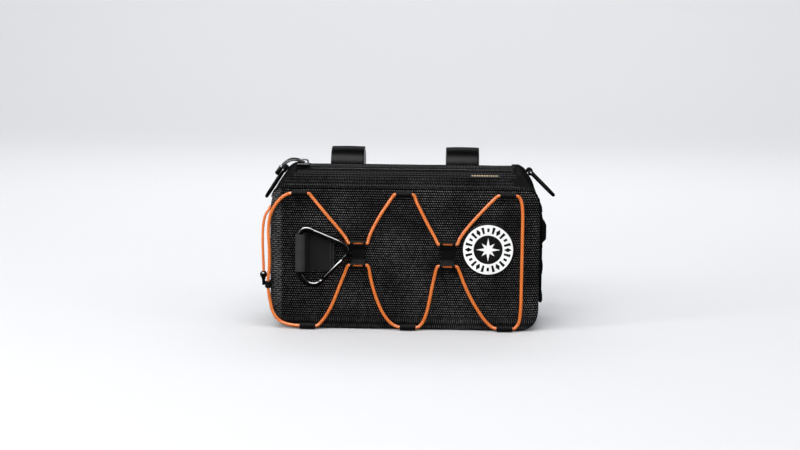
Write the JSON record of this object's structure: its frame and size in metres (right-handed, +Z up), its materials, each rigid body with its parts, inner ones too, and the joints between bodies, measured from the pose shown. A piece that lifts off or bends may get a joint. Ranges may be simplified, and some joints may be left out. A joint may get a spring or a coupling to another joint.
{
  "type": "handlebar bag",
  "caption": "Padded handlebar bag of black mesh cloth with a zipped top, orange cord lacing, a carabiner, shoulder rings and straps for the bar.",
  "frame": {"origin": "middle of the flat bottom, on the surface it stands on", "axes": "+X to the right as the front is seen, -Y out of the laced front, +Z up"},
  "size_m": [0.2694, 0.1401, 0.1555],
  "materials": {
    "mesh_cloth": "coarse black mesh",
    "webbing": "smooth black webbing",
    "coated_cloth": "coated, satin black",
    "label_cloth": "woven, black",
    "orange_cord": "braided, bright orange",
    "black_cord": "braided, black",
    "gloss_black": "glossy black",
    "gloss_metal": "glossy black"
  },
  "bodies": {
    "bag": {"front_panel": "mesh_cloth", "back_panel": "mesh_cloth", "gusset": "mesh_cloth", "top_front_band": "mesh_cloth", "top_back_band": "mesh_cloth", "zip_tape_front": "webbing", "zip_coil": "webbing", "zip_tape_back": "webbing", "zip_end_left": "webbing", "zip_end_right": "webbing", "zip_slider": "gloss_black", "zip_pull_cord": "black_cord", "zip_pull_end": "gloss_black", "top_keeper_left": "webbing", "top_keeper_middle": "webbing", "top_keeper_right": "webbing", "bottom_keeper_left": "webbing", "bottom_keeper_middle": "webbing", "bottom_keeper_right": "webbing", "middle_keeper_left": "webbing", "middle_keeper_right": "webbing", "lace": "orange_cord", "lace_tail": "orange_cord", "side_tab": "webbing", "cord_stop": "gloss_black", "carabiner_band": "coated_cloth", "round_patch": "coated_cloth", "label_tab": "label_cloth", "side_webbing": "webbing", "ring_tab_left": "webbing", "ring_tab_right": "webbing", "bar_strap_left": "webbing", "bar_strap_right": "webbing"},
    "carabiner": {"carabiner_body": "gloss_metal", "carabiner_rivet": "gloss_metal"},
    "gate": {"carabiner_gate": "gloss_metal"},
    "ring_left": {"d_ring_left": "gloss_black"},
    "ring_right": {"d_ring_right": "gloss_black"}
  },
  "joints": [
    {"name": "carabiner_swing", "type": "hinge", "parent": "bag", "child": "carabiner", "pos_m": [-0.0928, -0.0539, 0.0703], "axis": [0, 0, -1], "range_deg": [0, 150]},
    {"name": "gate_open", "type": "hinge", "parent": "carabiner", "child": "gate", "pos_m": [-0.07243, -0.0539, 0.04581], "axis": [0, -1, 0], "range_deg": [0, 25], "stiffness_Nm_per_rad": 0.01, "springref_deg": -17.19},
    {"name": "ring_left_swing", "type": "hinge", "parent": "bag", "child": "ring_left", "pos_m": [-0.11348, 0.016, 0.13877], "axis": [0, 1, 0], "range_deg": [0, 180]},
    {"name": "ring_right_swing", "type": "hinge", "parent": "bag", "child": "ring_right", "pos_m": [0.11348, 0.016, 0.13877], "axis": [0, -1, 0], "range_deg": [0, 170]}
  ]
}
